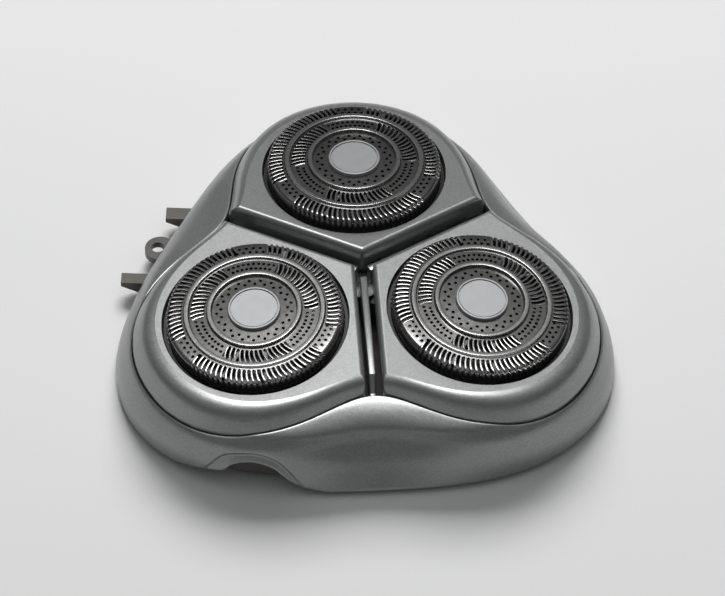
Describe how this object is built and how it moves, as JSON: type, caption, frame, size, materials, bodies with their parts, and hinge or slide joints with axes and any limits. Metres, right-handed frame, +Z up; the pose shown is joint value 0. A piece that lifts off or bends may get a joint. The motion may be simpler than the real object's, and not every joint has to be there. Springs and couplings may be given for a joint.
{
  "type": "rotary shaver head",
  "caption": "Round-lobed rotary shaver head with a moulded skirt, tilting panels round slotted steel guards, turning cutters beneath them and hinge lugs on one side.",
  "frame": {"origin": "the middle of the three heads on the plane of the skirt's lower rim", "axes": "+Z up, away from the shaver's body; one head lies along +Y; the hinge is at 150 degrees from +X"},
  "size_m": [0.0739, 0.0703, 0.0157],
  "materials": {
    "silver_shell": "satin silver paint with fine flake on moulded plastic",
    "black_ring": "black moulded plastic",
    "dark_frame": "dark brown-black moulded plastic",
    "guard_steel": "bright dark nickel steel",
    "disc_steel": "pale satin metal",
    "cutter_steel": "ground steel",
    "carrier_plastic": "pale moulded plastic",
    "bright_steel": "bright steel wire, strip and screws"
  },
  "bodies": {
    "frame": {"outer_skirt": "silver_shell", "chassis": "dark_frame", "hinge_bracket": "dark_frame", "frame_screws": "bright_steel", "hinge_screws": "bright_steel", "pivot_pin_rear": "bright_steel", "pivot_pin_left": "bright_steel", "pivot_pin_right": "bright_steel", "petal_spring_rear": "bright_steel", "petal_spring_left": "bright_steel", "petal_spring_right": "bright_steel"},
    "petal_rear": {"petal_rear": "silver_shell", "guard_rear": "guard_steel", "centre_disc_rear": "disc_steel", "seat_ring_rear": "black_ring", "retaining_ring_rear": "dark_frame"},
    "cutter_rear": {"cutter_rear": "cutter_steel", "carrier_rear": "carrier_plastic"},
    "petal_left": {"petal_left": "silver_shell", "guard_left": "guard_steel", "centre_disc_left": "disc_steel", "seat_ring_left": "black_ring", "retaining_ring_left": "dark_frame"},
    "cutter_left": {"cutter_left": "cutter_steel", "carrier_left": "carrier_plastic"},
    "petal_right": {"petal_right": "silver_shell", "guard_right": "guard_steel", "centre_disc_right": "disc_steel", "seat_ring_right": "black_ring", "retaining_ring_right": "dark_frame"},
    "cutter_right": {"cutter_right": "cutter_steel", "carrier_right": "carrier_plastic"}
  },
  "joints": [
    {"name": "petal_rear_tilt", "type": "hinge", "parent": "frame", "child": "petal_rear", "pos_m": [0, 0.0039, 0.0076], "axis": [-1, 0, 0], "range_deg": [0, 3], "stiffness_Nm_per_rad": 0.05, "springref_deg": -11.46, "deforming": ["petal_spring_rear"]},
    {"name": "cutter_rear_spin", "type": "hinge", "parent": "petal_rear", "child": "cutter_rear", "pos_m": [0, 0.01848, 0.0124], "axis": [0, 0.095, 0.9955], "continuous": true},
    {"name": "petal_left_tilt", "type": "hinge", "parent": "frame", "child": "petal_left", "pos_m": [-0.00338, -0.00195, 0.0076], "axis": [0.5, -0.866, 0], "range_deg": [0, 3], "stiffness_Nm_per_rad": 0.05, "springref_deg": -11.46, "deforming": ["petal_spring_left"]},
    {"name": "cutter_left_spin", "type": "hinge", "parent": "petal_left", "child": "cutter_left", "pos_m": [-0.016, -0.00924, 0.0124], "axis": [-0.0823, -0.0475, 0.9955], "continuous": true},
    {"name": "petal_right_tilt", "type": "hinge", "parent": "frame", "child": "petal_right", "pos_m": [0.00338, -0.00195, 0.0076], "axis": [0.5, 0.866, 0], "range_deg": [0, 3], "stiffness_Nm_per_rad": 0.05, "springref_deg": -11.46, "deforming": ["petal_spring_right"]},
    {"name": "cutter_right_spin", "type": "hinge", "parent": "petal_right", "child": "cutter_right", "pos_m": [0.016, -0.00924, 0.0124], "axis": [0.0823, -0.0475, 0.9955], "continuous": true}
  ]
}
